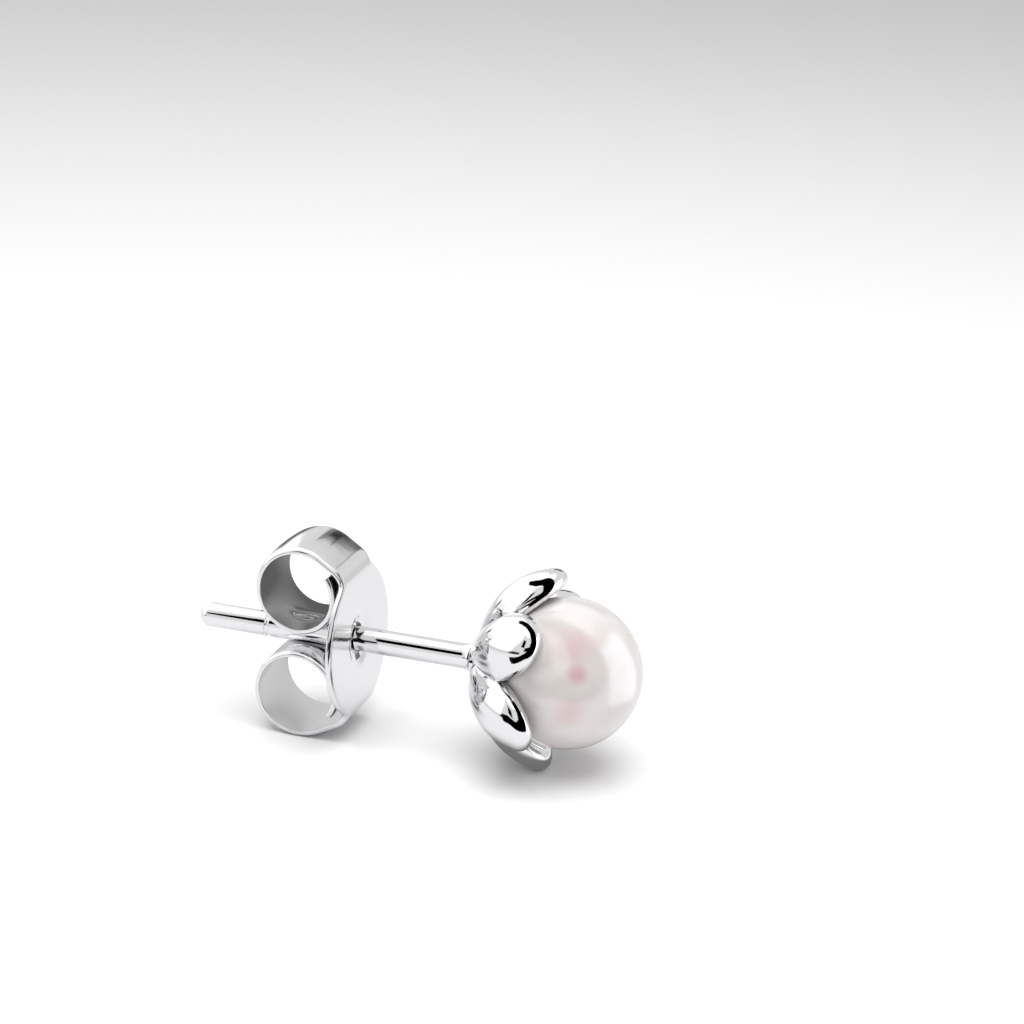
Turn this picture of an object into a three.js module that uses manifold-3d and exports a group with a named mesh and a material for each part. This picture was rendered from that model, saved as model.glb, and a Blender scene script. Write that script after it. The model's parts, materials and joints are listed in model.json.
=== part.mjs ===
// Pearl stud earring: a half-drilled pearl glued on the peg of a six-petal flower cup, the cup soldered
// to a straight ear post, and a butterfly clutch that slides on the post and grips it with two loops.
// Millimetres, +Z up. +X runs along the post from its tip to the pearl. The earring lies on a table as
// it does by itself: on the clutch's lower loop and on the lowest petal.

import * as THREE from 'three';
import { mergeVertices } from 'three/addons/utils/BufferGeometryUtils.js';
import Module from 'manifold-3d';

const wasm = await Module();
wasm.setup();

const DEGREE = Math.PI / 180;

// Pearl, with the blind hole that takes the peg
const PEARL_DIAMETER = 5.2;
const PEARL_SIDES = 48;
const PEARL_ROWS = 22;
const SEAT_GAP = 0.05;

// Peg that stands in the pearl
const PEG_DIAMETER = 0.7;
const PEG_LENGTH = 3.2;
const PEG_GAP = 0.05;

// Flower cup: wall thicknesses are measured out from the pearl's seat, and angles at the pearl's
// centre from the post's direction
const PETALS = 6;
const PETAL_TURN = 7.6 * DEGREE;
const HUB_WALL = 0.63;
const VALLEY_WALL = 0.32;
const CREST_WALL = 0.97;
const LIP_STANDOFF = 0.22;
const HUB_TURN = 12 * DEGREE;
const VALLEY_TURN = 35 * DEGREE;
const CREST_TURN = 67 * DEGREE;
const NOTCH_TURN = 55 * DEGREE;
const TIP_TURN = 85 * DEGREE;
const LIP_LENGTH = 0.48;
const NOTCH_LIP_LENGTH = 0.18;
const DOME_POWER = 1;
const COLUMNS_PER_HALF_PETAL = 7;
const CUP_ROWS = 11;
const LIP_ROWS = 6;
const SEAT_ROWS = 7;

// Ear post, with a rounded tip, a locating groove and a solder fillet at the cup
const POST_DIAMETER = 0.88;
const POST_LENGTH = 10.2;
const POST_SIDES = 24;
const TIP_LENGTH = 0.38;
const GROOVE_FROM_TIP = 2.63;
const GROOVE_WIDTH = 0.18;
const GROOVE_DEPTH = 0.05;
const FILLET_LENGTH = 0.45;
const FILLET_WIDTH = 0.2;

// Butterfly clutch: one sheet strip with an oval plate in the middle and two arms curled back. The plate
// is dished round the post hole and leans back a little at the top. Each arm turns a corner, runs over a
// straight shoulder and curls into a loop. The loops lie closer together than the post is thick, so each
// has a channel pressed in it for the post.
const EAR_GAP = 4.18;
const SHEET = 0.2;
const PLATE_WIDTH = 5.76;
const PLATE_HEIGHT = 5.2;
const PLATE_LEAN = 0.05;
const DISH_DEPTH = 0.16;
const DISH_RADIUS = 1.2;
const CORNER_RADIUS = 0.8;
const CORNER_TURN = 60 * DEGREE;
const SHOULDER_LENGTH = 0.67;
const ARM_WIDTH = 2.7;
const LOOP_DIAMETER = 3.15;
const LOOPS_APART = 0.65;
const CHANNEL_GAP = 0.05;
const TAIL_GAP = 0.06;
const LOOP_TURN = 392 * DEGREE;
const HOLE_GAP = 0.12;
const NOTCH_WIDTH = 0.4;
const NOTCH_REACH = 0.2;
const PLATE_STEPS = 11;
const CORNER_STEPS = 4;
const LOOP_STEPS = 32;

// How sharply the plate's outline runs into the arm's, and a loop into its channel
const WIDTH_BLEND = 8;
const CHANNEL_BLEND = 12;

// Where the strip's mesh has its columns, as shares of its half width
const STRIP_COLUMNS = [-1, -0.83, -0.65, -0.45, -0.28, -0.14, 0, 0.14, 0.28, 0.45, 0.65, 0.83, 1];

// Worked out from the sizes above
const pearlRadius = PEARL_DIAMETER / 2;
const seatRadius = pearlRadius + SEAT_GAP;
const pegRadius = PEG_DIAMETER / 2;
const postRadius = POST_DIAMETER / 2;
const holeRadius = postRadius + HOLE_GAP;
const hubX = -(seatRadius + HUB_WALL);
const tipX = hubX - POST_LENGTH;
const plateX = hubX - EAR_GAP - SHEET / 2;

const silver = new THREE.MeshStandardMaterial({ color: 0xe4e5e8, metalness: 1, roughness: 0.08 });
const nacre = new THREE.MeshStandardMaterial({ color: 0xf1ecec, metalness: 0, roughness: 0.25 });

// Rises smoothly from 0 to 1 as value goes from low to high
function rise(value, low, high) {
  const share = Math.min(Math.max((value - low) / (high - low), 0), 1);
  return Math.sin(share * Math.PI / 2) ** 2;
}

function closedGeometry(positions, triangles) {
  const geometry = new THREE.BufferGeometry();
  geometry.setAttribute('position', new THREE.Float32BufferAttribute(positions, 3));
  geometry.setIndex(triangles);
  return geometry;
}

// Shared vertices merged, and the triangles of no area at a lathe's poles dropped
function welded(geometry) {
  geometry.deleteAttribute('normal');
  geometry.deleteAttribute('uv');
  const merged = mergeVertices(geometry, 1e-5);
  const index = merged.index.array;
  const kept = [];
  for (let i = 0; i < index.length; i += 3) {
    const [a, b, c] = index.slice(i, i + 3);
    if (a !== b && b !== c && c !== a) {
      kept.push(a, b, c);
    }
  }
  merged.setIndex(kept);
  return merged;
}

function solidOf(geometry) {
  const mesh = new wasm.Mesh({
    numProp: 3,
    vertProperties: new Float32Array(geometry.attributes.position.array),
    triVerts: new Uint32Array(geometry.index.array),
  });
  return new wasm.Manifold(mesh);
}

function geometryOf(solid) {
  const mesh = solid.getMesh();
  const geometry = closedGeometry(Array.from(mesh.vertProperties), Array.from(mesh.triVerts));
  geometry.computeVertexNormals();
  return geometry;
}

// Turns a profile of [x, radius] points round the X axis
function turned(profile, sides) {
  const points = profile.map(([x, radius]) => new THREE.Vector2(radius, x));
  const lathe = new THREE.LatheGeometry(points, sides);
  lathe.rotateZ(-Math.PI / 2);
  return welded(lathe);
}

// Sphere with the blind peg hole open towards the post
function pearlGeometry() {
  const holeRadius = pegRadius + PEG_GAP;
  const holeEnd = -pearlRadius + PEG_LENGTH + PEG_GAP;
  const mouthTurn = Math.asin(holeRadius / pearlRadius);
  const profile = [[holeEnd, 0], [holeEnd, holeRadius]];
  for (let row = 0; row < PEARL_ROWS; row += 1) {
    const turn = mouthTurn + (Math.PI - mouthTurn) * row / PEARL_ROWS;
    profile.push([-pearlRadius * Math.cos(turn), pearlRadius * Math.sin(turn)]);
  }
  profile.push([pearlRadius, 0]);
  return turned(profile, PEARL_SIDES);
}

// The cup's outer and inner radius about the pearl's centre. turn is the angle from the post's
// direction, side runs from -1 to 1 across one petal.
function outerRadius(turn, side) {
  const dome = (1 - side ** 2) ** DOME_POWER;
  const valley = HUB_WALL + (VALLEY_WALL - HUB_WALL) * rise(turn, 0, VALLEY_TURN);
  const crest = HUB_WALL + (CREST_WALL - HUB_WALL) * rise(turn, 0, CREST_TURN);
  return seatRadius + valley + (crest - valley) * dome;
}

function innerRadius(turn, side) {
  return seatRadius + LIP_STANDOFF * (1 - side ** 2) * rise(turn, VALLEY_TURN, TIP_TURN);
}

// Half the azimuth that a petal spans: its sector up to the notch, and beyond it the width it has there
function petalSpan(turn) {
  const sector = Math.PI / PETALS;
  const notchWidth = outerRadius(NOTCH_TURN, 1) * Math.sin(NOTCH_TURN) * Math.sin(sector);
  const width = outerRadius(turn, 1) * Math.sin(turn);
  return turn <= NOTCH_TURN ? sector : Math.asin(notchWidth / width);
}

// One petal's profile from the hub, over the lip and back along the seat, as [turn, radius] pairs
function cupProfile(side) {
  const round = Math.sqrt(1 - side ** 2);
  const rim = NOTCH_TURN + (TIP_TURN - NOTCH_TURN) * round;
  const lipLength = NOTCH_LIP_LENGTH + (LIP_LENGTH - NOTCH_LIP_LENGTH) * round;
  const lipTurn = lipLength / outerRadius(rim, side);
  const start = rim - lipTurn;
  const profile = [];
  for (let row = 0; row < CUP_ROWS; row += 1) {
    const turn = HUB_TURN + (start - HUB_TURN) * row / CUP_ROWS;
    profile.push([turn, outerRadius(turn, side)]);
  }
  const middle = (outerRadius(start, side) + innerRadius(start, side)) / 2;
  const half = (outerRadius(start, side) - innerRadius(start, side)) / 2;
  for (let row = 0; row <= LIP_ROWS; row += 1) {
    const swing = Math.PI * (0.5 - row / LIP_ROWS);
    profile.push([start + lipTurn * Math.cos(swing), middle + half * Math.sin(swing)]);
  }
  for (let row = 1; row < SEAT_ROWS; row += 1) {
    const turn = start * (1 - row / SEAT_ROWS);
    profile.push([turn, innerRadius(turn, side)]);
  }
  return profile;
}

// Six petals in one ring: a grid of profiles, closed by a pole on the hub and one in the seat
function cupGeometry() {
  const columns = [];
  for (let petal = 0; petal < PETALS; petal += 1) {
    for (let step = -COLUMNS_PER_HALF_PETAL; step < COLUMNS_PER_HALF_PETAL; step += 1) {
      const side = Math.sin(Math.PI / 2 * step / COLUMNS_PER_HALF_PETAL);
      const middle = PETAL_TURN + petal * 2 * Math.PI / PETALS;
      columns.push({ side, middle, profile: cupProfile(side) });
    }
  }
  const rows = columns[0].profile.length;
  const positions = [hubX, 0, 0, -seatRadius, 0, 0];
  for (const { side, middle, profile } of columns) {
    for (const [turn, radius] of profile) {
      const azimuth = middle + side * petalSpan(turn);
      const out = radius * Math.sin(turn);
      positions.push(-radius * Math.cos(turn), out * Math.sin(azimuth), out * Math.cos(azimuth));
    }
  }
  const at = (column, row) => 2 + (column % columns.length) * rows + row;
  const triangles = [];
  for (let column = 0; column < columns.length; column += 1) {
    const next = column + 1;
    triangles.push(0, at(column, 0), at(next, 0));
    triangles.push(1, at(next, rows - 1), at(column, rows - 1));
    for (let row = 0; row < rows - 1; row += 1) {
      triangles.push(at(column, row), at(column, row + 1), at(next, row + 1));
      triangles.push(at(column, row), at(next, row + 1), at(next, row));
    }
  }
  return closedGeometry(positions, triangles);
}

// Post, solder fillet and peg as one turned rod that passes through the cup's hub
function postGeometry() {
  const profile = [[tipX, 0]];
  const tipRows = 4;
  for (let row = 1; row <= tipRows; row += 1) {
    const swing = Math.PI / 2 * row / tipRows;
    profile.push([tipX + TIP_LENGTH * (1 - Math.cos(swing)), postRadius * Math.sin(swing)]);
  }
  const grooveX = tipX + GROOVE_FROM_TIP;
  profile.push([grooveX - GROOVE_WIDTH / 2, postRadius]);
  profile.push([grooveX, postRadius - GROOVE_DEPTH]);
  profile.push([grooveX + GROOVE_WIDTH / 2, postRadius]);
  const filletRows = 4;
  for (let row = 0; row <= filletRows; row += 1) {
    const swing = Math.PI / 2 * row / filletRows;
    const x = hubX - FILLET_LENGTH * (1 - Math.sin(swing));
    profile.push([x, postRadius + FILLET_WIDTH * (1 - Math.cos(swing))]);
  }
  profile.push([hubX + HUB_WALL / 2, postRadius + FILLET_WIDTH]);
  profile.push([hubX + HUB_WALL / 2, pegRadius]);
  profile.push([-pearlRadius + PEG_LENGTH, pegRadius]);
  profile.push([-pearlRadius + PEG_LENGTH, 0]);
  return turned(profile, POST_SIDES);
}

// Radius of a loop's middle line: a spiral that has turned by turn since it faced the pearl
function loopRadius(turn) {
  return (LOOP_DIAMETER - SHEET) / 2 + (SHEET + TAIL_GAP) * (0.5 - turn / (2 * Math.PI));
}

// Middle of the upper loop, seen from the plate's middle
function loopCentre() {
  const corner = CORNER_RADIUS * (1 - Math.cos(CORNER_TURN));
  const shoulder = SHOULDER_LENGTH * Math.sin(CORNER_TURN);
  const x = -corner - shoulder - loopRadius(CORNER_TURN) * Math.cos(CORNER_TURN);
  return { x, z: (LOOPS_APART + SHEET) / 2 + loopRadius(1.5 * Math.PI) };
}

// The strip's middle line in the XZ plane for one arm: up the plate, round a corner and over a straight
// shoulder, then a loop that curls back over the post and ends behind the plate
function armLine() {
  const centre = loopCentre();
  const drop = SHOULDER_LENGTH * Math.cos(CORNER_TURN) + CORNER_RADIUS * Math.sin(CORNER_TURN);
  const cornerZ = centre.z + loopRadius(CORNER_TURN) * Math.sin(CORNER_TURN) - drop;
  const line = [];
  for (let step = 0; step < PLATE_STEPS; step += 1) {
    line.push({ x: 0, z: cornerZ * step / PLATE_STEPS, outX: 1, outZ: 0, looped: false });
  }
  for (let step = 0; step <= CORNER_STEPS; step += 1) {
    const turn = CORNER_TURN * step / CORNER_STEPS;
    const outX = Math.cos(turn);
    const outZ = Math.sin(turn);
    const x = CORNER_RADIUS * (outX - 1);
    line.push({ x, z: cornerZ + CORNER_RADIUS * outZ, outX, outZ, looped: false });
  }
  for (let step = 0; step <= LOOP_STEPS; step += 1) {
    const turn = CORNER_TURN + (LOOP_TURN - CORNER_TURN) * step / LOOP_STEPS;
    const radius = loopRadius(turn);
    const outX = Math.cos(turn);
    const outZ = Math.sin(turn);
    line.push({ x: centre.x + radius * outX, z: centre.z + radius * outZ, outX, outZ, looped: true });
  }
  return line;
}

// Half the plate's width at a height over the post, running softly into the arm's
function stripHalfWidth(height) {
  const plate = PLATE_WIDTH / 2 * Math.sqrt(Math.max(1 - (2 * height / PLATE_HEIGHT) ** 2, 0));
  return (plate ** WIDTH_BLEND + (ARM_WIDTH / 2) ** WIDTH_BLEND) ** (1 / WIDTH_BLEND);
}

// How far back the plate is pressed at a distance from the post hole's middle
function dish(distance) {
  return DISH_DEPTH * (1 - rise(distance, holeRadius, DISH_RADIUS));
}

// A loop's height over the post's axis, raised where the channel for the post is pressed in it
function overPost(height, across) {
  const radius = postRadius + CHANNEL_GAP + SHEET / 2;
  const channel = Math.sqrt(Math.max(radius ** 2 - across ** 2, 0));
  return (height ** CHANNEL_BLEND + channel ** CHANNEL_BLEND) ** (1 / CHANNEL_BLEND);
}

// One point of the strip's front or back at a place of the line, across its width
function stripPoint({ x, z, outX, outZ, looped, way }, share, offset) {
  const across = share * (looped ? ARM_WIDTH / 2 : stripHalfWidth(z));
  const middleX = looped ? x : x - dish(Math.hypot(across, z));
  const middleZ = looped ? overPost(z, across) : z;
  const pointX = middleX + outX * offset;
  const pointZ = way * (middleZ + outZ * offset);
  return [pointX - PLATE_LEAN * pointZ * rise(pointX, loopCentre().x, 0), across, pointZ];
}

// The bent strip: a ring of front and back points at each point of the line, closed at both tails
function stripGeometry() {
  const upper = armLine().map((point) => ({ ...point, way: 1 }));
  const lower = upper.slice(1).map((point) => ({ ...point, way: -1 }));
  const line = [...lower.reverse(), ...upper];
  const positions = [];
  for (const point of line) {
    for (const face of [1, -1]) {
      for (const share of STRIP_COLUMNS) {
        positions.push(...stripPoint(point, face * share, face * SHEET / 2));
      }
    }
  }
  const across = STRIP_COLUMNS.length;
  const ring = 2 * across;
  const triangles = [];
  for (let row = 0; row < line.length - 1; row += 1) {
    for (let column = 0; column < ring; column += 1) {
      const a = row * ring + column;
      const b = row * ring + (column + 1) % ring;
      triangles.push(a, b, b + ring, a, b + ring, a + ring);
    }
  }
  const last = (line.length - 1) * ring;
  for (let column = 0; column < across - 1; column += 1) {
    const [a, b, c, d] = [column, column + 1, ring - 2 - column, ring - 1 - column];
    triangles.push(a, d, c, a, c, b);
    triangles.push(last + a, last + b, last + c, last + a, last + c, last + d);
  }
  return closedGeometry(positions, triangles);
}

// The strip with the round post hole through the plate and a relief notch above and below it
function clutchGeometry() {
  const reach = SHEET + DISH_DEPTH;
  const profile = [[-reach, 0], [-reach, holeRadius], [reach, holeRadius], [reach, 0]];
  const hole = turned(profile, POST_SIDES);
  const notches = new THREE.BoxGeometry(2 * reach, NOTCH_WIDTH, 2 * (holeRadius + NOTCH_REACH));
  const geometry = geometryOf(
    solidOf(stripGeometry()).subtract(solidOf(hole)).subtract(solidOf(welded(notches))),
  );
  geometry.translate(plateX, 0, 0);
  return geometry;
}

function namedMesh(name, geometry, material) {
  const mesh = new THREE.Mesh(geometry, material);
  mesh.name = name;
  return mesh;
}

// Lowest point of a mesh once it is pitched about the Y axis
function lowestZ(mesh, pitch) {
  const position = mesh.geometry.attributes.position;
  let lowest = Infinity;
  for (let i = 0; i < position.count; i += 1) {
    lowest = Math.min(lowest, position.getX(i) * Math.sin(pitch) + position.getZ(i) * Math.cos(pitch));
  }
  return lowest;
}

// Pitch at which the clutch and the flower both touch the table, found by halving the interval
function restPitch(front, back) {
  let low = -30 * DEGREE;
  let high = 30 * DEGREE;
  for (let step = 0; step < 60; step += 1) {
    const middle = (low + high) / 2;
    if (lowestZ(front, middle) < lowestZ(back, middle)) {
      low = middle;
    } else {
      high = middle;
    }
  }
  return (low + high) / 2;
}

const pearl = namedMesh('pearl', pearlGeometry(), nacre);
const soldered = geometryOf(solidOf(cupGeometry()).add(solidOf(postGeometry())));
const setting = namedMesh('flower_setting', soldered, silver);
const clutch = namedMesh('butterfly_clutch', clutchGeometry(), silver);

const lying = new THREE.Group();
lying.add(pearl, setting, clutch);
lying.rotation.y = -restPitch(setting, clutch);

// The origin is the middle of the box's bottom
const earring = new THREE.Group();
earring.add(lying);
earring.updateMatrixWorld(true);
const box = new THREE.Box3().setFromObject(earring, true);
lying.position.set(-(box.min.x + box.max.x) / 2, -(box.min.y + box.max.y) / 2, -box.min.z);
earring.updateMatrixWorld(true);

export default earring;
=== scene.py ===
import json
import math

import bmesh
import bpy
from mathutils import Matrix, Vector

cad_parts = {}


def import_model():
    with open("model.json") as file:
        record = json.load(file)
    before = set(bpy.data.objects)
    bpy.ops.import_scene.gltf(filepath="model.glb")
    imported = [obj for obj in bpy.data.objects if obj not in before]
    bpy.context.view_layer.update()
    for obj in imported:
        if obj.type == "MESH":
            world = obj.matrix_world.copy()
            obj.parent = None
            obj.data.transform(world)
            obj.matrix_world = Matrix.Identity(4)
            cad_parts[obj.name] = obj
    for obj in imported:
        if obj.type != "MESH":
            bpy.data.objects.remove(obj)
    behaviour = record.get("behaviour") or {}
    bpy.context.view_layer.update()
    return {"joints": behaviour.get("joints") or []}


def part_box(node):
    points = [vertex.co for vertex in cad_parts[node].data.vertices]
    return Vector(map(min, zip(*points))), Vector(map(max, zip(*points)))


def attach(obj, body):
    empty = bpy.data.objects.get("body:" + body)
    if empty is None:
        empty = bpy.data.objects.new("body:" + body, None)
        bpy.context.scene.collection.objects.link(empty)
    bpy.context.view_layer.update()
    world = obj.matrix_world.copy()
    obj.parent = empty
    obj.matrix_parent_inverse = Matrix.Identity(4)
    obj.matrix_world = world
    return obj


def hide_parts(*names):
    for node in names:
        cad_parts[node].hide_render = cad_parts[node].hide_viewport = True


# The looks of a pearl stud earring: a white pearl in a mirror-polished flower cup on an ear post, with a
# stamped butterfly clutch, lying on a pale floor. Shapes are drawn in millimetres on the earring's own
# axes: the pearl's centre is the origin, +X runs along the post towards the pearl and +Z is up through
# the clutch. One matrix then lays them where the frame says.
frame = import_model()

MM = 0.001

# Pearl and peg
PEARL_DIAMETER = 5.2
SEAT_GAP = 0.05
PEG_DIAMETER = 0.7
PEG_LENGTH = 3.2
PEG_GAP = 0.05

# Flower cup: walls are measured out from the pearl's seat, angles at the pearl's centre from the post
PETALS = 6
PETAL_TURN = math.radians(7.6)
HUB_WALL = 0.63
VALLEY_WALL = 0.32
CREST_WALL = 0.97
LIP_STANDOFF = 0.22
HUB_TURN = math.radians(12)
VALLEY_TURN = math.radians(35)
CREST_TURN = math.radians(67)
NOTCH_TURN = math.radians(55)
TIP_TURN = math.radians(85)
LIP_LENGTH = 0.48
NOTCH_LIP_LENGTH = 0.18
DOME_POWER = 1.0

# Ear post
POST_DIAMETER = 0.88
POST_LENGTH = 10.2
TIP_LENGTH = 0.38
GROOVE_FROM_TIP = 2.63
GROOVE_WIDTH = 0.18
GROOVE_DEPTH = 0.05
FILLET_LENGTH = 0.45
FILLET_WIDTH = 0.2

# Butterfly clutch, one strip of sheet
EAR_GAP = 4.18
SHEET = 0.2
ROLL_WIDTH = 0.2
ROLL_DEPTH = 0.14
EDGE_RADIUS = 0.04
ARM_CROWN = 0.08
PLATE_WIDTH = 5.76
PLATE_HEIGHT = 5.2
PLATE_LEAN = 0.05
DISH_DEPTH = 0.16
DISH_RADIUS = 1.2
CORNER_RADIUS = 0.8
CORNER_TURN = math.radians(60)
SHOULDER_LENGTH = 0.67
ARM_WIDTH = 2.7
LOOP_DIAMETER = 3.15
LOOPS_APART = 0.65
CHANNEL_GAP = 0.05
TAIL_GAP = 0.06
LOOP_TURN = math.radians(392)
HOLE_GAP = 0.12
NOTCH_WIDTH = 0.4
NOTCH_REACH = 0.2

# How sharply the plate's outline runs into the arm's, and a loop into its channel
WIDTH_BLEND = 8
CHANNEL_BLEND = 12

# Pink spots on the pearl's viewer side, partly the nacre's pink overtone and partly painted pink
# reflections:
# middle on the earring's axes, radius and strength
PINK_ORIENT_AND_REFLECTION_SPOTS = [
    ((0.7, -1.8, 1.78), 0.8, 0.5),
    ((0.97, -2.23, 0.97), 0.45, 0.95),
    ((0.8, -2.45, -0.35), 0.65, 0.45),
]
# A spot has its full strength where its gradient has risen this far
PINK_CORE = 0.7
# Places of the colour sockets on a mix node
MIX_COLOUR_A, MIX_COLOUR_B, MIX_COLOUR_RESULT = 6, 7, 2

# The near studio cards, on the earring's axes. PETAL_FLAG has the two edges of a dark strip that is bent
# round the front petal, and LOOP_SHADE is a glowing wall behind the loops that only the metal mirrors:
# painted shade for the insides of the loops.
PETAL_FLAG = [
    ((-4.4, 1.4, 6.0), (-4.7, 0.3, 6.5)),
    ((-3.3, 0.9, 7.1), (-4.2, -1.0, 7.3)),
    ((0.6, -0.2, 7.8), (-0.4, -3.6, 8.3)),
    ((4.6, -1.4, 5.4), (2.5, -6.2, 6.0)),
    ((5.6, -1.9, 1.5), (2.3, -8.0, 3.3)),
    ((4.8, -3.9, -1.2), (-0.3, -9.0, 1.3)),
    ((1.0, -7.8, -1.7), (-4.8, -7.5, 0.6)),
    ((-5.0, -6.6, -1.5), (-5.7, -6.8, 0.3)),
]
LOOP_SHADE = {"low": -3.4, "high": 3.5, "start": -12.0, "end": -7.7, "behind": 1.9}

# How brightly the shades shine: a height or a distance as a share of SHADE_REACH, and the strength there
SHADE_REACH = 7.0
LOOP_SHADE_STOPS = [(0.0, 0.68), (0.15, 0.64), (0.26, 0.47), (0.4, 0.62), (0.55, 0.12), (0.66, 0.12),
                    (0.78, 0.32), (0.88, 0.16), (1.0, 0.16)]
FLOOR_SHADE_STOPS = [(0.0, 0.15), (0.28, 0.2), (0.5, 0.8)]
FLOOR_SHADE_HEIGHT = 0.06
FLOOR_SHADE_SHIFT = 0.8

# How finely the curved surfaces are drawn
ROUND_SIDES = 144
PEARL_ROWS = 96
PETAL_COLUMNS = 44
CUP_ROWS = 44
LIP_ROWS = 18
SEAT_ROWS = 14
PLATE_STEPS = 40
BEND_STEPS = 24
LOOP_STEPS = 120
FACE_COLUMNS = 44
CORNER_STEPS = 7

# Studio: distance of the far cards and the lamp, of the pearl's own softbox, and the cards' fineness
CARD_DISTANCE = 150
PEARL_CARD_DISTANCE = 8.0
CARD_STEPS = 16
LAMP_SIZE = 170
LAMP_ENERGY = 0.232
FLOOR_SIZE = 3000
# The grey sheet that paints shade into the metal's reflections of the floor: half its width and its height
PAINTED_SHADE_SHEET_SIZE = 400
PAINTED_SHADE_SHEET_HEIGHT = 0.03

# Faces that meet at more than this angle keep a sharp edge between them
CREASE = math.radians(40)

pearl_radius = PEARL_DIAMETER / 2
seat_radius = pearl_radius + SEAT_GAP
peg_radius = PEG_DIAMETER / 2
post_radius = POST_DIAMETER / 2
hole_radius = post_radius + HOLE_GAP
hub_x = -(seat_radius + HUB_WALL)
tip_x = hub_x - POST_LENGTH
plate_x = hub_x - EAR_GAP - SHEET / 2


# Where the earring lies

def lying_matrix():
    """From the earring's own axes in millimetres to where it lies in the frame."""
    low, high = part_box("pearl")
    centre = Vector(((high[0] - pearl_radius * MM), (low[1] + high[1]) / 2, (low[2] + high[2]) / 2))
    axis = Vector(frame["joints"][0]["axis"])
    pitch = math.atan2(axis.z, axis.x)
    return Matrix.Translation(centre) @ Matrix.Rotation(-pitch, 4, "Y") @ Matrix.Scale(MM, 4)


lying = lying_matrix()


# Nodes and materials

def linear(hex_colour):
    """An sRGB hex colour as linear RGBA."""
    channels = [int(hex_colour[i:i + 2], 16) / 255 for i in (1, 3, 5)]
    return [c / 12.92 if c <= 0.04045 else ((c + 0.055) / 1.055) ** 2.4 for c in channels] + [1.0]


def add_node(tree, kind, settings=None, inputs=None):
    """Adds a node with its properties, and with values or other nodes' sockets on its inputs."""
    node = tree.nodes.new(kind)
    for name, value in (settings or {}).items():
        setattr(node, name, value)
    for name, value in (inputs or {}).items():
        if isinstance(value, bpy.types.NodeSocket):
            tree.links.new(value, node.inputs[name])
        else:
            node.inputs[name].default_value = value
    return node


def new_material(name):
    """An empty node material, with its tree and its output node."""
    material = bpy.data.materials.new(name)
    material.use_nodes = True
    material.node_tree.nodes.clear()
    output = material.node_tree.nodes.new("ShaderNodeOutputMaterial")
    return material, material.node_tree, output


def pattern_scale(size_mm):
    """Noise scale that makes one feature about size_mm, on Object coordinates in metres."""
    return 1 / (size_mm * MM)


def rhodium_plated_silver():
    """Cast silver, hand-polished and rhodium-plated: a white mirror whose surface waves very slightly."""
    material, tree, output = new_material("rhodium_plated_silver")
    place = add_node(tree, "ShaderNodeTexCoord")
    wave = add_node(tree, "ShaderNodeTexNoise", inputs={
        "Vector": place.outputs["Object"], "Scale": pattern_scale(1.1), "Detail": 1.0, "Roughness": 0.4})
    haze = add_node(tree, "ShaderNodeTexNoise", inputs={
        "Vector": place.outputs["Object"], "Scale": pattern_scale(0.35), "Detail": 3.0})
    roughness = add_node(tree, "ShaderNodeMapRange", inputs={
        "Value": haze.outputs["Fac"], "From Min": 0.35, "From Max": 0.7, "To Min": 0.045, "To Max": 0.085})
    bump = add_node(tree, "ShaderNodeBump", inputs={
        "Height": wave.outputs["Fac"], "Strength": 0.25, "Distance": 0.02 * MM})
    metal = add_node(tree, "ShaderNodeBsdfPrincipled", inputs={
        "Base Color": linear("#f1f1f2"), "Metallic": 1.0,
        "Roughness": roughness.outputs["Result"], "Normal": bump.outputs["Normal"]})
    tree.links.new(metal.outputs["BSDF"], output.inputs["Surface"])
    return material


def stamped_silver_sheet():
    """Rolled silver sheet, stamped, bent and barrel-polished: softer than the cup, with faint roll lines."""
    material, tree, output = new_material("stamped_silver_sheet")
    place = add_node(tree, "ShaderNodeTexCoord")
    stretched = add_node(tree, "ShaderNodeMapping", inputs={
        "Vector": place.outputs["Object"], "Scale": (1.0, 9.0, 1.0)})
    lines = add_node(tree, "ShaderNodeTexNoise", inputs={
        "Vector": stretched.outputs["Vector"], "Scale": pattern_scale(1.6), "Detail": 2.0})
    haze = add_node(tree, "ShaderNodeTexNoise", inputs={
        "Vector": place.outputs["Object"], "Scale": pattern_scale(0.5), "Detail": 3.0})
    roughness = add_node(tree, "ShaderNodeMapRange", inputs={
        "Value": haze.outputs["Fac"], "From Min": 0.35, "From Max": 0.7, "To Min": 0.13, "To Max": 0.18})
    bump = add_node(tree, "ShaderNodeBump", inputs={
        "Height": lines.outputs["Fac"], "Strength": 0.12, "Distance": 0.01 * MM})
    metal = add_node(tree, "ShaderNodeBsdfPrincipled", inputs={
        "Base Color": linear("#eeeeef"), "Metallic": 1.0,
        "Roughness": roughness.outputs["Result"], "Normal": bump.outputs["Normal"]})
    tree.links.new(metal.outputs["BSDF"], output.inputs["Surface"])
    return material


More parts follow.
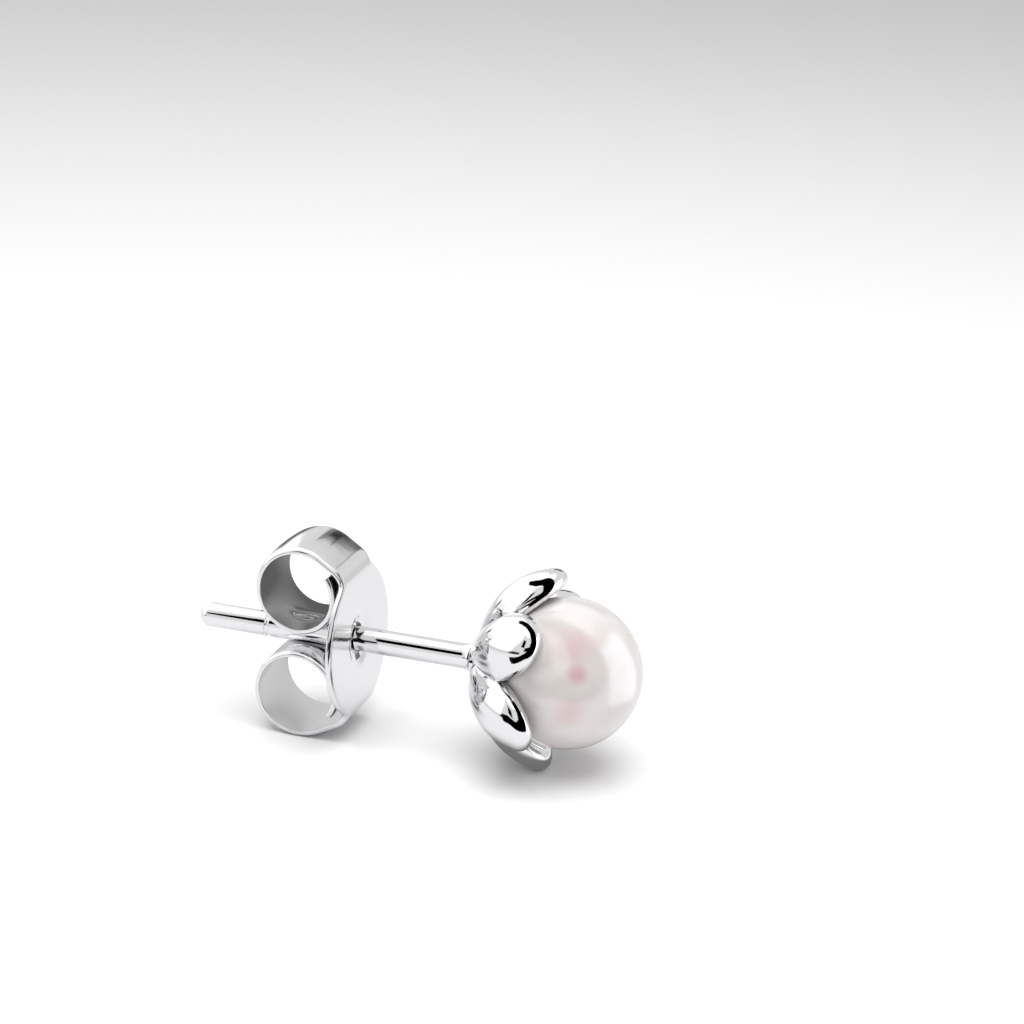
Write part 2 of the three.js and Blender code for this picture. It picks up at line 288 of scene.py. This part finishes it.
def pearl_nacre():
    """White freshwater nacre: a milky body, faint growth bands and a soft, slightly pink orient, with spots
    on the viewer side that are partly orient and partly painted pink reflections.
    """
    material, tree, output = new_material("pearl_nacre")
    place = add_node(tree, "ShaderNodeTexCoord")
    growth = add_node(tree, "ShaderNodeTexNoise", inputs={
        "Vector": place.outputs["Object"], "Scale": pattern_scale(2.2), "Detail": 3.0, "Roughness": 0.55})
    body = add_node(tree, "ShaderNodeValToRGB", inputs={"Fac": growth.outputs["Fac"]})
    body.color_ramp.elements[0].position = 0.35
    body.color_ramp.elements[0].color = linear("#d8d1ce")
    body.color_ramp.elements[1].position = 0.7
    body.color_ramp.elements[1].color = linear("#e6e2df")
    colour = body.outputs["Color"]
    # Each spot tints the body pink: partly the nacre's overtone, partly a painted reflection on the viewer's
    # side
    for spot, radius, strength in PINK_ORIENT_AND_REFLECTION_SPOTS:
        size = radius * MM
        middle = lying @ Vector(spot)
        moved = add_node(tree, "ShaderNodeMapping", {"vector_type": "TEXTURE"}, {
            "Vector": place.outputs["Object"], "Location": middle, "Scale": (size, size, size)})
        glow = add_node(tree, "ShaderNodeTexGradient", {"gradient_type": "SPHERICAL"}, {
            "Vector": moved.outputs["Vector"]})
        share = add_node(tree, "ShaderNodeMapRange", inputs={
            "Value": glow.outputs["Fac"], "From Min": 0.0, "From Max": PINK_CORE,
            "To Min": 0.0, "To Max": strength})
        tint = add_node(tree, "ShaderNodeMix", {"data_type": "RGBA"}, {
            "Factor": share.outputs["Result"], MIX_COLOUR_A: colour, MIX_COLOUR_B: linear("#d8b2b6")})
        colour = tint.outputs[MIX_COLOUR_RESULT]
    ripple = add_node(tree, "ShaderNodeTexNoise", inputs={
        "Vector": place.outputs["Object"], "Scale": pattern_scale(0.3), "Detail": 2.0})
    bump = add_node(tree, "ShaderNodeBump", inputs={
        "Height": ripple.outputs["Fac"], "Strength": 0.08, "Distance": 0.01 * MM})
    nacre = add_node(tree, "ShaderNodeBsdfPrincipled", inputs={
        "Base Color": colour, "Roughness": 0.3, "IOR": 1.7,
        "Subsurface Weight": 0.2, "Subsurface Radius": (1.0, 0.85, 0.8), "Subsurface Scale": 0.5 * MM,
        "Coat Weight": 0.9, "Coat Roughness": 0.2, "Coat IOR": 1.7,
        "Normal": bump.outputs["Normal"]})
    tree.links.new(nacre.outputs["BSDF"], output.inputs["Surface"])
    return material


def plain_material(name, hex_colour):
    """A plain matt surface for the studio."""
    material, tree, output = new_material(name)
    surface = add_node(tree, "ShaderNodeBsdfPrincipled", inputs={
        "Base Color": linear(hex_colour), "Roughness": 0.9})
    tree.links.new(surface.outputs["BSDF"], output.inputs["Surface"])
    return material


def glow_material(name, hex_colour, strength):
    """A surface that shines by itself, for the cards that the metal mirrors."""
    material, tree, output = new_material(name)
    glow = add_node(tree, "ShaderNodeEmission", inputs={"Color": linear(hex_colour), "Strength": strength})
    tree.links.new(glow.outputs["Emission"], output.inputs["Surface"])
    material.cycles.emission_sampling = "NONE"
    return material


def graded_glow(name, centre, reach, stops):
    """A card's glow, from its distance to a centre: on each axis, reach is the distance that counts as 1,
    and an axis without a reach doesn't count."""
    material, tree, output = new_material(name)
    place = add_node(tree, "ShaderNodeTexCoord")
    moved = add_node(tree, "ShaderNodeVectorMath", {"operation": "SUBTRACT"}, {
        0: place.outputs["Object"], 1: centre * MM})
    shares = add_node(tree, "ShaderNodeVectorMath", {"operation": "MULTIPLY"}, {
        0: moved.outputs["Vector"], 1: [1 / (r * MM) if r else 0.0 for r in reach]})
    distance = add_node(tree, "ShaderNodeVectorMath", {"operation": "LENGTH"}, {0: shares.outputs["Vector"]})
    ramp = add_node(tree, "ShaderNodeValToRGB", inputs={"Fac": distance.outputs["Value"]})
    while len(ramp.color_ramp.elements) < len(stops):
        ramp.color_ramp.elements.new(0.5)
    for element, (position, strength) in zip(ramp.color_ramp.elements, stops):
        element.position = position
        element.color = (strength, strength, strength, 1.0)
    glow = add_node(tree, "ShaderNodeEmission", inputs={"Color": ramp.outputs["Color"]})
    tree.links.new(glow.outputs["Emission"], output.inputs["Surface"])
    material.cycles.emission_sampling = "NONE"
    return material


# Mesh helpers

def new_piece(name, points, faces, material):
    """A closed, smoothly shaded mesh, laid in the frame."""
    mesh = bpy.data.meshes.new(name)
    mesh.from_pydata([lying @ Vector(p) for p in points], [], faces)
    piece = bpy.data.objects.new(name, mesh)
    bpy.context.scene.collection.objects.link(piece)
    finish_mesh(mesh)
    mesh.materials.append(material)
    return piece


def finish_mesh(mesh):
    """Merges doubles, turns the faces outwards and marks the sharp edges."""
    edit = bmesh.new()
    edit.from_mesh(mesh)
    bmesh.ops.remove_doubles(edit, verts=edit.verts, dist=0.0004 * MM)
    bmesh.ops.recalc_face_normals(edit, faces=edit.faces)
    for face in edit.faces:
        face.smooth = True
    for edge in edit.edges:
        edge.smooth = edge.is_manifold and edge.calc_face_angle() < CREASE
    edit.to_mesh(mesh)
    edit.free()


def turned(profile, sides):
    """Points and faces of a profile of (x, radius) pairs turned round the X axis."""
    points = []
    for x, radius in profile:
        for side in range(sides):
            turn = 2 * math.pi * side / sides
            points.append((x, radius * math.cos(turn), radius * math.sin(turn)))
    faces = []
    for row in range(len(profile) - 1):
        for side in range(sides):
            a = row * sides + side
            b = row * sides + (side + 1) % sides
            faces.append((a, b, b + sides, a + sides))
    return points, faces


def arc(centre_x, centre_radius, size_x, size_radius, start, end, steps):
    """Points of a quarter or other part of an ellipse in a turned profile."""
    turns = [start + (end - start) * step / steps for step in range(steps + 1)]
    return [(centre_x + size_x * math.cos(t), centre_radius + size_radius * math.sin(t)) for t in turns]


# Pearl

def pearl_ball(material):
    """The pearl, with its drilled hole towards the post."""
    hole_radius = peg_radius + PEG_GAP
    hole_end = -pearl_radius + PEG_LENGTH + PEG_GAP
    mouth = math.asin(hole_radius / pearl_radius)
    profile = [(hole_end, 0.0), (hole_end, hole_radius)]
    for row in range(PEARL_ROWS + 1):
        turn = mouth + (math.pi - mouth) * row / PEARL_ROWS
        profile.append((-pearl_radius * math.cos(turn), pearl_radius * math.sin(turn)))
    points, faces = turned(profile, ROUND_SIDES)
    return new_piece("pearl_ball", points, faces, material)


# Flower cup

def rise(value, low, high):
    """Rises smoothly from 0 to 1 as value goes from low to high."""
    share = min(max((value - low) / (high - low), 0), 1)
    return math.sin(share * math.pi / 2) ** 2


def outer_radius(turn, side):
    """The cup's outside about the pearl's centre; side runs from -1 to 1 across a petal."""
    dome = max(1 - side ** 2, 0) ** DOME_POWER
    valley = HUB_WALL + (VALLEY_WALL - HUB_WALL) * rise(turn, 0, VALLEY_TURN)
    crest = HUB_WALL + (CREST_WALL - HUB_WALL) * rise(turn, 0, CREST_TURN)
    return seat_radius + valley + (crest - valley) * dome


def inner_radius(turn, side):
    """The cup's seat about the pearl's centre."""
    return seat_radius + LIP_STANDOFF * (1 - side ** 2) * rise(turn, VALLEY_TURN, TIP_TURN)


def petal_span(turn):
    """Half the azimuth that a petal spans: its sector up to the notch, and then the width it has there."""
    sector = math.pi / PETALS
    if turn <= NOTCH_TURN:
        return sector
    notch_width = outer_radius(NOTCH_TURN, 1) * math.sin(NOTCH_TURN) * math.sin(sector)
    return math.asin(notch_width / (outer_radius(turn, 1) * math.sin(turn)))


def petal_profile(side):
    """(turn, radius) pairs from the hub, over the lip and back along the seat."""
    roundness = math.sqrt(max(1 - side ** 2, 0))
    rim = NOTCH_TURN + (TIP_TURN - NOTCH_TURN) * roundness
    lip_turn = (NOTCH_LIP_LENGTH + (LIP_LENGTH - NOTCH_LIP_LENGTH) * roundness) / outer_radius(rim, side)
    start = rim - lip_turn
    profile = []
    for row in range(CUP_ROWS):
        turn = HUB_TURN + (start - HUB_TURN) * row / CUP_ROWS
        profile.append((turn, outer_radius(turn, side)))
    middle = (outer_radius(start, side) + inner_radius(start, side)) / 2
    half = (outer_radius(start, side) - inner_radius(start, side)) / 2
    for row in range(LIP_ROWS + 1):
        swing = math.pi * (0.5 - row / LIP_ROWS)
        profile.append((start + lip_turn * math.cos(swing), middle + half * math.sin(swing)))
    for row in range(1, SEAT_ROWS):
        turn = start * (1 - row / SEAT_ROWS)
        profile.append((turn, inner_radius(turn, side)))
    return profile


def petal_sector(material):
    """One petal's sector of the cup, from the hub's pole round the lip to the seat's pole."""
    columns = []
    for column in range(PETAL_COLUMNS + 1):
        side = math.sin(math.pi / 2 * (2 * column / PETAL_COLUMNS - 1))
        points = []
        for turn, radius in petal_profile(side):
            azimuth = PETAL_TURN + side * petal_span(turn)
            out = radius * math.sin(turn)
            points.append((-radius * math.cos(turn), out * math.sin(azimuth), out * math.cos(azimuth)))
        columns.append([(hub_x, 0.0, 0.0)] + points + [(-seat_radius, 0.0, 0.0)])
    rows = len(columns[0])
    points = [point for column in columns for point in column]
    faces = []
    for column in range(PETAL_COLUMNS):
        for row in range(rows - 1):
            a = column * rows + row
            faces.append((a, a + 1, a + rows + 1, a + rows))
    mesh = bpy.data.meshes.new("petal_sector")
    mesh.from_pydata(points, [], faces)
    mesh.materials.append(material)
    return bpy.data.objects.new("petal_sector", mesh)


def ring_tree():
    """Geometry Nodes: copies of a sector round the X axis, joined at their seams."""
    tree = bpy.data.node_groups.new("ring_of_petals", "GeometryNodeTree")
    sockets = {}
    for name, kind in (("Sector", "NodeSocketObject"), ("Count", "NodeSocketInt"),
                       ("Seam", "NodeSocketFloat"), ("Metal", "NodeSocketMaterial")):
        sockets[name] = tree.interface.new_socket(name, in_out="INPUT", socket_type=kind).identifier
    tree.interface.new_socket("Geometry", in_out="OUTPUT", socket_type="NodeSocketGeometry")
    given = add_node(tree, "NodeGroupInput")
    sector = add_node(tree, "GeometryNodeObjectInfo", inputs={"Object": given.outputs["Sector"]})
    points = add_node(tree, "GeometryNodeMeshLine", {"mode": "OFFSET"}, {
        "Count": given.outputs["Count"], "Offset": (0.0, 0.0, 0.0)})
    index = add_node(tree, "GeometryNodeInputIndex")
    step = add_node(tree, "ShaderNodeMath", {"operation": "DIVIDE"})
    step.inputs[0].default_value = 2 * math.pi
    tree.links.new(given.outputs["Count"], step.inputs[1])
    turn = add_node(tree, "ShaderNodeMath", {"operation": "MULTIPLY"})
    tree.links.new(index.outputs["Index"], turn.inputs[0])
    tree.links.new(step.outputs["Value"], turn.inputs[1])
    rotation = add_node(tree, "ShaderNodeCombineXYZ", inputs={"X": turn.outputs["Value"]})
    copies = add_node(tree, "GeometryNodeInstanceOnPoints", inputs={
        "Points": points.outputs["Mesh"], "Instance": sector.outputs["Geometry"],
        "Rotation": rotation.outputs["Vector"]})
    solid = add_node(tree, "GeometryNodeRealizeInstances", inputs={"Geometry": copies.outputs["Instances"]})
    joined = add_node(tree, "GeometryNodeMergeByDistance", inputs={
        "Geometry": solid.outputs["Geometry"], "Distance": given.outputs["Seam"]})
    metal = add_node(tree, "GeometryNodeSetMaterial", inputs={
        "Geometry": joined.outputs["Geometry"], "Material": given.outputs["Metal"]})
    result = add_node(tree, "NodeGroupOutput")
    tree.links.new(metal.outputs["Geometry"], result.inputs["Geometry"])
    return tree, sockets


def flower_cup(material):
    """Six petals in one ring, each a copy of one sector."""
    sector = petal_sector(material)
    bpy.context.scene.collection.objects.link(sector)
    tree, sockets = ring_tree()
    maker = bpy.data.objects.new("flower_cup", bpy.data.meshes.new("flower_cup"))
    bpy.context.scene.collection.objects.link(maker)
    modifier = maker.modifiers.new("ring", "NODES")
    modifier.node_group = tree
    modifier[sockets["Sector"]] = sector
    modifier[sockets["Count"]] = PETALS
    modifier[sockets["Seam"]] = 0.0005
    modifier[sockets["Metal"]] = material
    mesh = bpy.data.meshes.new_from_object(maker.evaluated_get(bpy.context.evaluated_depsgraph_get()))
    maker.modifiers.clear()
    maker.data = mesh
    mesh.transform(lying)
    finish_mesh(mesh)
    bpy.data.objects.remove(sector)
    return maker


# Ear post

def ear_post(material):
    """The post with its rounded tip, groove and solder fillet, and the peg that stands in the pearl."""
    groove_x = tip_x + GROOVE_FROM_TIP
    profile = arc(tip_x + TIP_LENGTH, 0, TIP_LENGTH, post_radius, math.pi, math.pi / 2, 14)
    profile.append((groove_x - GROOVE_WIDTH / 2 - 0.04, post_radius))
    profile += arc(groove_x, post_radius, GROOVE_WIDTH / 2, GROOVE_DEPTH, -math.pi, 0, 10)
    profile.append((groove_x + GROOVE_WIDTH / 2 + 0.04, post_radius))
    fillet = arc(hub_x - FILLET_LENGTH, post_radius + FILLET_WIDTH, FILLET_LENGTH, FILLET_WIDTH,
                 -math.pi / 2, 0, 14)
    profile += fillet
    profile.append((hub_x + HUB_WALL / 2, post_radius + FILLET_WIDTH))
    profile.append((hub_x + HUB_WALL / 2, peg_radius))
    profile.append((-pearl_radius + PEG_LENGTH, peg_radius))
    profile.append((-pearl_radius + PEG_LENGTH, 0))
    points, faces = turned(profile, ROUND_SIDES // 2)
    return new_piece("ear_post", points, faces, material)


# Butterfly clutch

def loop_radius(turn):
    """Radius of a loop's middle line: a spiral that has turned by turn since it faced the pearl."""
    return (LOOP_DIAMETER - SHEET) / 2 + (SHEET + TAIL_GAP) * (0.5 - turn / (2 * math.pi))


def loop_centre():
    """Middle of the upper loop, seen from the plate's middle."""
    first = loop_radius(CORNER_TURN)
    x = (CORNER_RADIUS * (math.cos(CORNER_TURN) - 1) - SHOULDER_LENGTH * math.sin(CORNER_TURN)
         - first * math.cos(CORNER_TURN))
    return x, (LOOPS_APART + SHEET) / 2 + loop_radius(1.5 * math.pi)


def arm_line():
    """The strip's middle line for one arm: up the plate, round a corner and over a straight shoulder, then
    a loop that ends behind the plate."""
    loop_x, loop_z = loop_centre()
    corner_z = (loop_z + (loop_radius(CORNER_TURN) - CORNER_RADIUS) * math.sin(CORNER_TURN)
                - SHOULDER_LENGTH * math.cos(CORNER_TURN))
    line = []
    for step in range(PLATE_STEPS):
        line.append({"x": 0.0, "z": corner_z * step / PLATE_STEPS, "out": (1.0, 0.0), "looped": False})
    for step in range(BEND_STEPS + 1):
        turn = CORNER_TURN * step / BEND_STEPS
        out = (math.cos(turn), math.sin(turn))
        line.append({"x": CORNER_RADIUS * (out[0] - 1), "z": corner_z + CORNER_RADIUS * out[1],
                     "out": out, "looped": False})
    for step in range(LOOP_STEPS + 1):
        turn = CORNER_TURN + (LOOP_TURN - CORNER_TURN) * step / LOOP_STEPS
        out = (math.cos(turn), math.sin(turn))
        line.append({"x": loop_x + loop_radius(turn) * out[0], "z": loop_z + loop_radius(turn) * out[1],
                     "out": out, "looped": True})
    return line


def strip_half_width(height):
    """Half the plate's width at a height over the post, running softly into the arm's."""
    plate = PLATE_WIDTH / 2 * math.sqrt(max(1 - (2 * height / PLATE_HEIGHT) ** 2, 0))
    return (plate ** WIDTH_BLEND + (ARM_WIDTH / 2) ** WIDTH_BLEND) ** (1 / WIDTH_BLEND)


def dish(distance):
    """How far back the plate is pressed at a distance from the post hole's middle."""
    return DISH_DEPTH * (1 - rise(distance, hole_radius, DISH_RADIUS))


def over_post(height, across):
    """A loop's height over the post's axis, raised where the channel for the post is pressed in it."""
    radius = post_radius + CHANNEL_GAP + SHEET / 2
    channel = math.sqrt(max(radius ** 2 - across ** 2, 0))
    return (height ** CHANNEL_BLEND + channel ** CHANNEL_BLEND) ** (1 / CHANNEL_BLEND)


def sheet_section(half_width):
    """Once round the sheet's cross-section, as (across, out) pairs. The outer face's corners are rolled
    over by the stamping, the inner face's are only broken."""
    section = []
    for face, width, depth in ((1, ROLL_WIDTH, ROLL_DEPTH), (-1, EDGE_RADIUS, EDGE_RADIUS)):
        flat = half_width - width
        for column in range(1, FACE_COLUMNS):
            section.append((face * flat * (2 * column / FACE_COLUMNS - 1), face * SHEET / 2))
        section += rolled_corner(flat, SHEET / 2 - depth, width, depth, face, math.pi / 2)
        other_width, other_depth = (EDGE_RADIUS, EDGE_RADIUS) if face == 1 else (ROLL_WIDTH, ROLL_DEPTH)
        section += rolled_corner(half_width - other_width, other_depth - SHEET / 2, other_width, other_depth,
                                 face, 0.0)
    return section


def rolled_corner(across, out, width, depth, face, start):
    """A quarter of an ellipse round one corner of the sheet; face -1 turns it half round."""
    points = []
    for step in range(CORNER_STEPS + 1):
        swing = start - math.pi / 2 * step / CORNER_STEPS
        points.append((face * (across + width * math.cos(swing)), face * (out + depth * math.sin(swing))))
    return points


def strip_mesh():
    """Points and faces of the bent strip, closed at both tails."""
    arm = arm_line()
    loop_x = loop_centre()[0]
    line = [(-1, station) for station in reversed(arm[1:])] + [(1, station) for station in arm]
    points = []
    for way, station in line:
        out_x, out_z = station["out"]
        half_width = ARM_WIDTH / 2 if station["looped"] else strip_half_width(station["z"])
        for across, out in sheet_section(half_width):
            if station["looped"]:
                x, height = station["x"], over_post(station["z"], across)
            else:
                x, height = station["x"] - dish(math.hypot(across, station["z"])), station["z"]
            if way == 1 and station["looped"]:
                out += ARM_CROWN * (1 - (across / half_width) ** 2) * rise(out_z, 0, 0.9)
            x += out_x * out
            z = way * (height + out_z * out)
            points.append((plate_x + x - PLATE_LEAN * z * rise(x, loop_x, 0), across, z))
    ring = len(points) // len(line)
    faces = []
    for row in range(len(line) - 1):
        for column in range(ring):
            a = row * ring + column
            b = row * ring + (column + 1) % ring
            faces.append((a, b, b + ring, a + ring))
    last = (len(line) - 1) * ring
    for column in range(ring // 2 - 1):
        a, b, c, d = column, column + 1, ring - 2 - column, ring - 1 - column
        faces.append((a, d, c, b))
        faces.append((last + a, last + b, last + c, last + d))
    return points, faces


def hole_cutter():
    """The round post hole with its relief notch above and below, as a prism through the plate."""
    half_notch = NOTCH_WIDTH / 2
    start = math.asin(half_notch / hole_radius)
    steps = 20
    outline = []
    for way in (1, -1):
        outline.append((-way * half_notch, way * (hole_radius + NOTCH_REACH)))
        outline.append((way * half_notch, way * (hole_radius + NOTCH_REACH)))
        for step in range(steps + 1):
            turn = start + (math.pi - 2 * start) * step / steps
            outline.append((way * hole_radius * math.sin(turn), way * hole_radius * math.cos(turn)))
    count = len(outline)
    reach = SHEET + DISH_DEPTH
    points = [(plate_x + side * reach, y, z) for side in (-1, 1) for y, z in outline]
    faces = [tuple(range(count)), tuple(range(2 * count - 1, count - 1, -1))]
    faces += [(i, i + count, (i + 1) % count + count, (i + 1) % count) for i in range(count)]
    return points, faces


def clutch_strip(material):
    """The clutch's strip with the post hole cut through its plate."""
    points, faces = strip_mesh()
    strip = new_piece("clutch_strip", points, faces, material)
    points, faces = hole_cutter()
    cutter = new_piece("hole_cutter", points, faces, material)
    cut = strip.modifiers.new("post_hole", "BOOLEAN")
    cut.operation = "DIFFERENCE"
    cut.solver = "EXACT"
    cut.object = cutter
    mesh = bpy.data.meshes.new_from_object(strip.evaluated_get(bpy.context.evaluated_depsgraph_get()))
    strip.modifiers.clear()
    strip.data = mesh
    finish_mesh(mesh)
    bpy.data.objects.remove(cutter)
    return strip


# Studio

def direction(azimuth, elevation):
    """Unit vector; azimuth 0 is the viewer's side (-Y) and 90 the pearl's side (+X)."""
    turn, height = math.radians(azimuth), math.radians(elevation)
    return Vector((math.sin(turn) * math.cos(height), -math.cos(turn) * math.cos(height), math.sin(height)))


def reflected_only(name, points, faces, material):
    """A studio piece that only the metal and the nacre's gloss mirror; the picture never shows it."""
    mesh = bpy.data.meshes.new(name)
    mesh.from_pydata([Vector(p) * MM for p in points], [], faces)
    mesh.materials.append(material)
    piece = bpy.data.objects.new(name, mesh)
    bpy.context.scene.collection.objects.link(piece)
    piece.visible_camera = False
    piece.visible_shadow = False
    piece.visible_diffuse = False


def card(name, azimuths, elevations, material, distance=CARD_DISTANCE, centre=(0.0, 0.0, 0.0)):
    """A curved studio card: the patch of a sphere between two azimuths and two elevations."""
    points = []
    for row in range(CARD_STEPS + 1):
        elevation = elevations[0] + (elevations[1] - elevations[0]) * row / CARD_STEPS
        for column in range(CARD_STEPS + 1):
            azimuth = azimuths[0] + (azimuths[1] - azimuths[0]) * column / CARD_STEPS
            points.append(Vector(centre) + direction(azimuth, elevation) * distance)
    faces = []
    for row in range(CARD_STEPS):
        for column in range(CARD_STEPS):
            a = row * (CARD_STEPS + 1) + column
            faces.append((a, a + 1, a + CARD_STEPS + 2, a + CARD_STEPS + 1))
    reflected_only(name, points, faces, material)


def ribbon(name, edges, material):
    """A narrow studio card bent round the earring, between two rows of points on the earring's axes."""
    points = [lying @ Vector(point) / MM for pair in edges for point in pair]
    faces = [(2 * i, 2 * i + 1, 2 * i + 3, 2 * i + 2) for i in range(len(edges) - 1)]
    reflected_only(name, points, faces, material)


def studio_cards():
    """A white room with softboxes on the left, overhead and beside the pearl, and black flags."""
    room = glow_material("white_room", "#ffffff", 0.78)
    white = glow_material("softbox_cloth", "#ffffff", 1.2)
    cool = glow_material("pearl_softbox", "#f4f7ff", 2.3)
    wall = glow_material("dim_wall", "#ffffff", 0.7)
    grey = glow_material("grey_flag", "#ffffff", 0.16)
    black = glow_material("black_flag", "#000000", 0.0)
    pearl_centre = lying.translation / MM
    card("white_room", (-180, 180), (-1, 90), room, 1.4 * CARD_DISTANCE)
    card("far_wall", (130, 200), (-1, 10), wall, 1.2 * CARD_DISTANCE)
    card("left_softbox", (-150, -48), (4, 60), white)
    card("overhead_softbox", (-180, 180), (60, 90), white)
    card("pearl_softbox", (72, 124), (-24, 44), cool, PEARL_CARD_DISTANCE, pearl_centre)
    card("post_flag", (-34, -10), (22, 46), black)
    card("low_flag", (-5, 66), (6, 20), black)
    card("left_low_flag", (-50, -30), (0, 6), black)
    card("far_flag", (168, 196), (17, 31), grey)
    card("far_core", (172, 189), (20, 28), black, 0.9 * CARD_DISTANCE)
    ribbon("petal_flag", PETAL_FLAG, black)
    loop_shade()
    floor_shade()


def loop_shade():
    """Painted shade in the clutch's loops: a graded wall close behind them, darker behind the upper one."""
    wall = LOOP_SHADE
    edges = [((x, wall["behind"], wall["low"]), (x, wall["behind"], wall["high"]))
             for x in (wall["start"], wall["end"])]
    foot = Vector((0.0, 0.0, lying.translation.z / MM - SHADE_REACH / 2))
    ribbon("loop_shade", edges, graded_glow("loop_shade", foot, (0, 0, SHADE_REACH), LOOP_SHADE_STOPS))


def floor_shade():
    """Painted shadow: a round grey patch on the floor under the flower, as deep as its shadow, for the
    lowest petals.
    """
    centre = Vector((lying.translation.x / MM - FLOOR_SHADE_SHIFT, 0.0, 0.0))
    turns = [2 * math.pi * side / ROUND_SIDES for side in range(ROUND_SIDES)]
    radius = SHADE_REACH * FLOOR_SHADE_STOPS[-1][0]
    rim = [centre + Vector((radius * math.cos(t), radius * math.sin(t), FLOOR_SHADE_HEIGHT)) for t in turns]
    glow = graded_glow("floor_shade", centre, (SHADE_REACH, SHADE_REACH, 0), FLOOR_SHADE_STOPS)
    reflected_only("floor_shade", rim, [tuple(range(ROUND_SIDES))], glow)


def key_lamp():
    """A large soft lamp nearly overhead, so that the shadows lie close under the earring."""
    data = bpy.data.lights.new("key_lamp", "AREA")
    data.shape = "DISK"
    data.size = LAMP_SIZE * MM
    data.energy = LAMP_ENERGY
    lamp = bpy.data.objects.new("key_lamp", data)
    bpy.context.scene.collection.objects.link(lamp)
    place = direction(20, 83)
    lamp.location = place * CARD_DISTANCE * MM
    lamp.rotation_euler = place.to_track_quat("Z", "Y").to_euler()
    lamp.visible_glossy = False


def square(size, height):
    """Corners of a level square about the earring; size is half its width."""
    return [(-size, -size, height), (size, -size, height), (size, size, height), (-size, size, height)]


def mirrored_floor():
    """A grey sheet just over the floor, which only the metal sees: painted shade, so that its undersides
    stay grey.
    """
    corners = square(PAINTED_SHADE_SHEET_SIZE, PAINTED_SHADE_SHEET_HEIGHT)
    reflected_only("mirrored_floor", corners, [(0, 1, 2, 3)], plain_material("grey_sheet", "#e2e2e4"))


def floor():
    """A plain pale floor, large enough to fill the picture."""
    mesh = bpy.data.meshes.new("floor")
    mesh.from_pydata([Vector(corner) * MM for corner in square(FLOOR_SIZE, 0)], [], [(0, 1, 2, 3)])
    plane = bpy.data.objects.new("floor", mesh)
    bpy.context.scene.collection.objects.link(plane)
    mesh.materials.append(plain_material("pale_floor", "#fafafa"))


def camera():
    """The photograph's view: eye and axes are those of the earring's own axes, laid as it lies."""
    right = Vector((0.952317, 0.301776, 0.044983))
    up = Vector((-0.140375, 0.302453, 0.942771))
    back = Vector((0.270900, -0.904131, 0.330393))
    eye = Vector((20.027, -74.194, 32.569))
    data = bpy.data.cameras.new("camera")
    data.sensor_width = 36.0
    data.lens = 86.28
    data.clip_start = 0.001
    data.clip_end = 20.0
    thing = bpy.data.objects.new("camera", data)
    bpy.context.scene.collection.objects.link(thing)
    axes = Matrix((right, up, back)).transposed()
    turned_axes = lying.to_3x3().normalized() @ axes
    thing.matrix_world = Matrix.Translation(lying @ eye) @ turned_axes.to_4x4()
    bpy.context.scene.camera = thing


def world():
    """Even, bright, white surroundings."""
    studio = bpy.data.worlds.new("studio")
    bpy.context.scene.world = studio
    studio.use_nodes = True
    tree = studio.node_tree
    tree.nodes.clear()
    sky = add_node(tree, "ShaderNodeBackground", inputs={"Color": linear("#ffffff"), "Strength": 0.5})
    output = add_node(tree, "ShaderNodeOutputWorld")
    tree.links.new(sky.outputs["Background"], output.inputs["Surface"])


def dress(piece, body, node):
    """Makes a piece ride on its body in place of a CAD node."""
    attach(piece, body)
    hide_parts(node)


bpy.context.scene.view_settings.view_transform = "Standard"
cast_metal = rhodium_plated_silver()
sheet_metal = stamped_silver_sheet()
dress(pearl_ball(pearl_nacre()), "stud", "pearl")
dress(flower_cup(cast_metal), "stud", "flower_setting")
dress(ear_post(cast_metal), "stud", "flower_setting")
dress(clutch_strip(sheet_metal), "clutch", "butterfly_clutch")
floor()
mirrored_floor()
studio_cards()
key_lamp()
camera()
world()
